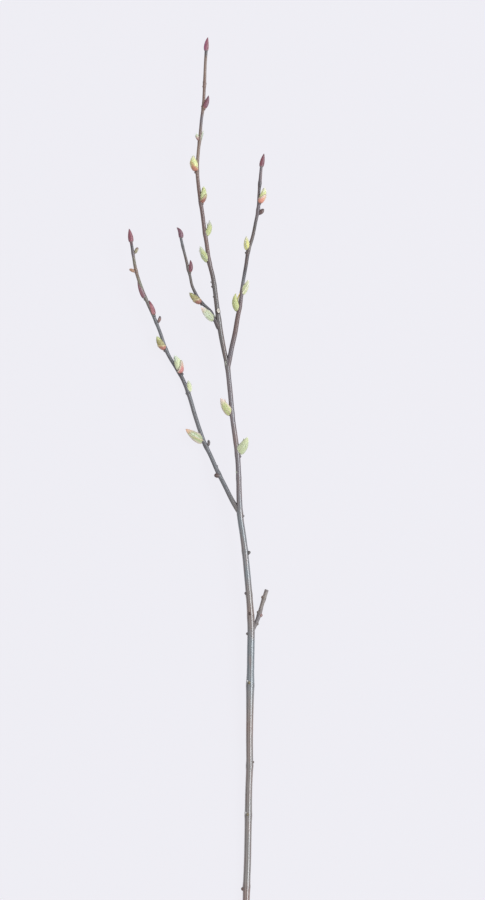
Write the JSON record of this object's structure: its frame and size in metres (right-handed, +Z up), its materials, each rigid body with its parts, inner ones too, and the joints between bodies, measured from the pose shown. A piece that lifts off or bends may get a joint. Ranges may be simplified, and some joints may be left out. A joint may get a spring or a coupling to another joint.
{
  "type": "willow twig",
  "caption": "Cut willow twig lying flat: a slender main stem with leafy side shoots, a dead stub, closed and opening buds, and small new leaves.",
  "frame": {"origin": "middle of the bounding box's underside, on the surface that the twig lies on", "axes": "+Y along the twig from the cut end to the top bud, +X to the right in the picture, +Z up from the surface"},
  "size_m": [0.1123, 0.6968, 0.0295],
  "materials": {
    "bark": "smooth grey-brown bark with a soft sheen, lenticels and leaf scars",
    "shoot_bark": "young bark, cool grey to reddish brown, satin",
    "dead_bark": "dry grey-brown bark of a dead stub, matt",
    "cut_wood": "pale cut wood with rings and a small pith",
    "bud_scale": "waxy maroon to coral bud scale",
    "catkin": "soft yellow-green catkin or leaf tip with silky hairs",
    "young_leaf": "thin pale green new leaf with veins, pale toothed edges and silky tips"
  },
  "bodies": {
    "root": {"main_stem": "bark", "left_shoot": "shoot_bark", "right_shoot": "shoot_bark", "short_shoot": "shoot_bark", "snag": "dead_bark"}
  },
  "joints": []
}
